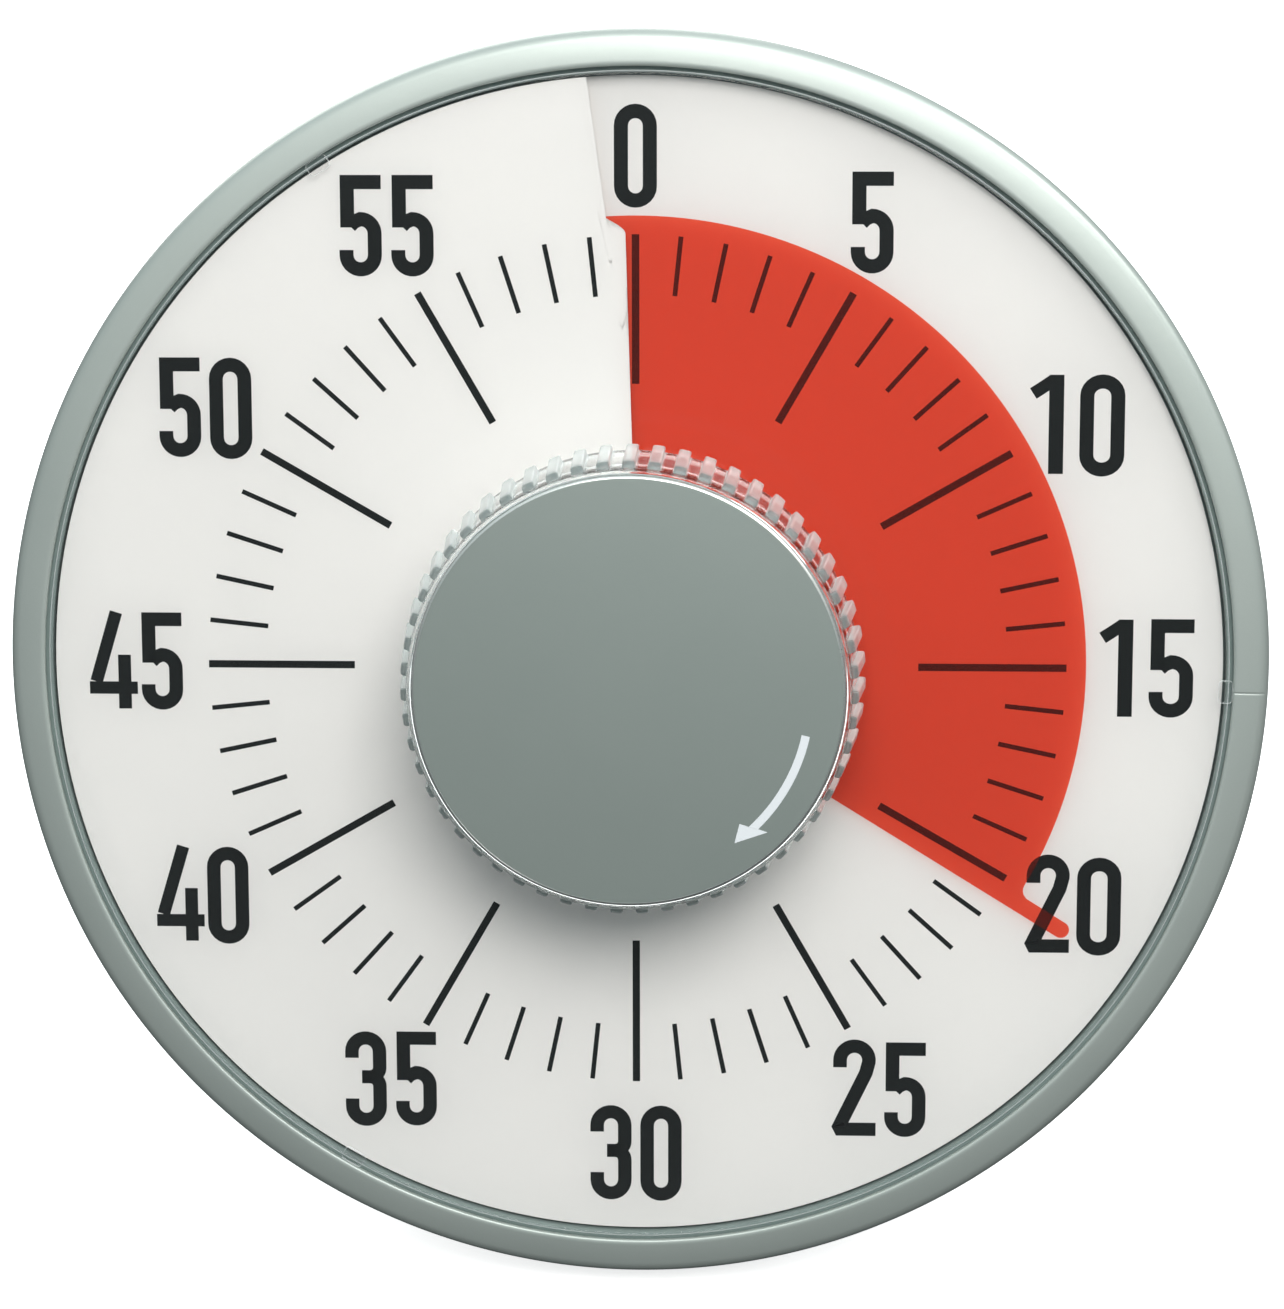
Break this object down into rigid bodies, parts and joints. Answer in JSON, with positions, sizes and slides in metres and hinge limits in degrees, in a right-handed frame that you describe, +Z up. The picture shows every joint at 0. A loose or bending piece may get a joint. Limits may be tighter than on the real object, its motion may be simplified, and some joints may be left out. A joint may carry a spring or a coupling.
{
  "type": "visual countdown timer",
  "caption": "Round dial timer with a big clear ribbed setting knob, a coloured film that sweeps out through a slit in the dial, and a fold-out stand.",
  "frame": {"origin": "middle of the bounding box, on the surface that the timer stands on with its stand open", "axes": "+X to the right of someone facing the dial, -Y towards that person, +Z up; the dial leans back 12 degrees, so its normal is (0, -0.978, 0.208)"},
  "size_m": [0.1892, 0.096, 0.1879],
  "materials": {
    "bezel": "satin silver paint on moulded plastic",
    "shell": "fine matte grain",
    "lens": "clear gloss acrylic",
    "dial": "smooth white sheet, printed",
    "tray": "moulded, satin",
    "film": "translucent tinted film",
    "knob_skirt": "clear gloss acrylic",
    "knob_cap": "satin silver-grey paint on moulded plastic",
    "steel": "bright",
    "brass": "stamped",
    "acetal": "moulded acetal",
    "black_plastic": "moulded",
    "case": "moulded",
    "board": "lacquered board",
    "copper": "enamelled copper wire",
    "cell": "printed sleeve",
    "rubber": "soft",
    "red_lead": "wire insulation"
  },
  "bodies": {
    "housing": {"front_bezel": "bezel", "rear_shell": "shell", "lens": "lens", "dial_sheet": "dial", "dial_tray": "tray", "movement_case_front": "case", "movement_case_back": "case", "stator": "steel", "drive_coil": "copper", "circuit_board": "board", "crystal": "steel", "timer_chip": "black_plastic", "zero_contact": "brass", "sounder_holder": "black_plastic", "sounder": "brass", "volume_switch": "black_plastic", "battery_box": "black_plastic", "battery_cell": "cell", "contact_plate": "steel", "contact_spring": "steel", "battery_lead_plus": "red_lead", "battery_lead_minus": "black_plastic", "sounder_lead_red": "red_lead", "sounder_lead_black": "black_plastic", "stand_pin_left": "steel", "stand_pin_right": "steel", "front_pad_left": "rubber", "front_pad_right": "rubber", "movement_screw_1": "steel", "movement_screw_2": "steel", "movement_screw_3": "steel", "movement_screw_4": "steel", "housing_screw_1": "steel", "housing_screw_2": "steel", "housing_screw_3": "steel", "housing_screw_4": "steel"},
    "knob": {"knob_skirt": "knob_skirt", "knob_cap": "knob_cap", "spindle": "steel", "film_hub": "acetal", "spindle_clip": "steel", "centre_wheel": "brass", "clutch_washer": "steel", "time_film": "film"},
    "second_wheel": {"second_wheel": "acetal"},
    "rotor": {"rotor": "black_plastic"},
    "stand": {"stand": "shell", "stand_pad": "rubber"},
    "battery_door": {"battery_door": "shell"},
    "volume_button": {"volume_button": "black_plastic"}
  },
  "joints": [
    {"name": "setting_knob", "type": "hinge", "parent": "housing", "child": "knob", "pos_m": [0, -0.01881, 0.0956], "axis": [0, 0.9781, -0.2079], "range_deg": [-118.8, 235.2], "deforming": ["time_film"]},
    {"name": "second_wheel_turn", "type": "hinge", "parent": "housing", "child": "second_wheel", "pos_m": [-0.01004, -0.01006, 0.07908], "axis": [0, 0.9781, -0.2079], "range_deg": [-1412.2, 713.8]},
    {"name": "rotor_turn", "type": "hinge", "parent": "housing", "child": "rotor", "pos_m": [0.00036, -0.00935, 0.0728], "axis": [0, 0.9781, -0.2079], "range_deg": [-3565, 7057]},
    {"name": "stand_fold", "type": "hinge", "parent": "housing", "child": "stand", "pos_m": [0, -0.00801, 0.02378], "axis": [1, 0, 0], "range_deg": [0, 98]},
    {"name": "battery_door_slide", "type": "slide", "parent": "housing", "child": "battery_door", "axis": [0, 0.2079, 0.9781], "range_m": [0, 0.006]},
    {"name": "volume_slide", "type": "slide", "parent": "housing", "child": "volume_button", "axis": [1, 0, 0], "range_m": [-0.004, 0]}
  ],
  "couplings": [
    {"joint": "second_wheel_turn", "follows": "setting_knob", "ratio": -6},
    {"joint": "rotor_turn", "follows": "setting_knob", "ratio": 30}
  ]
}
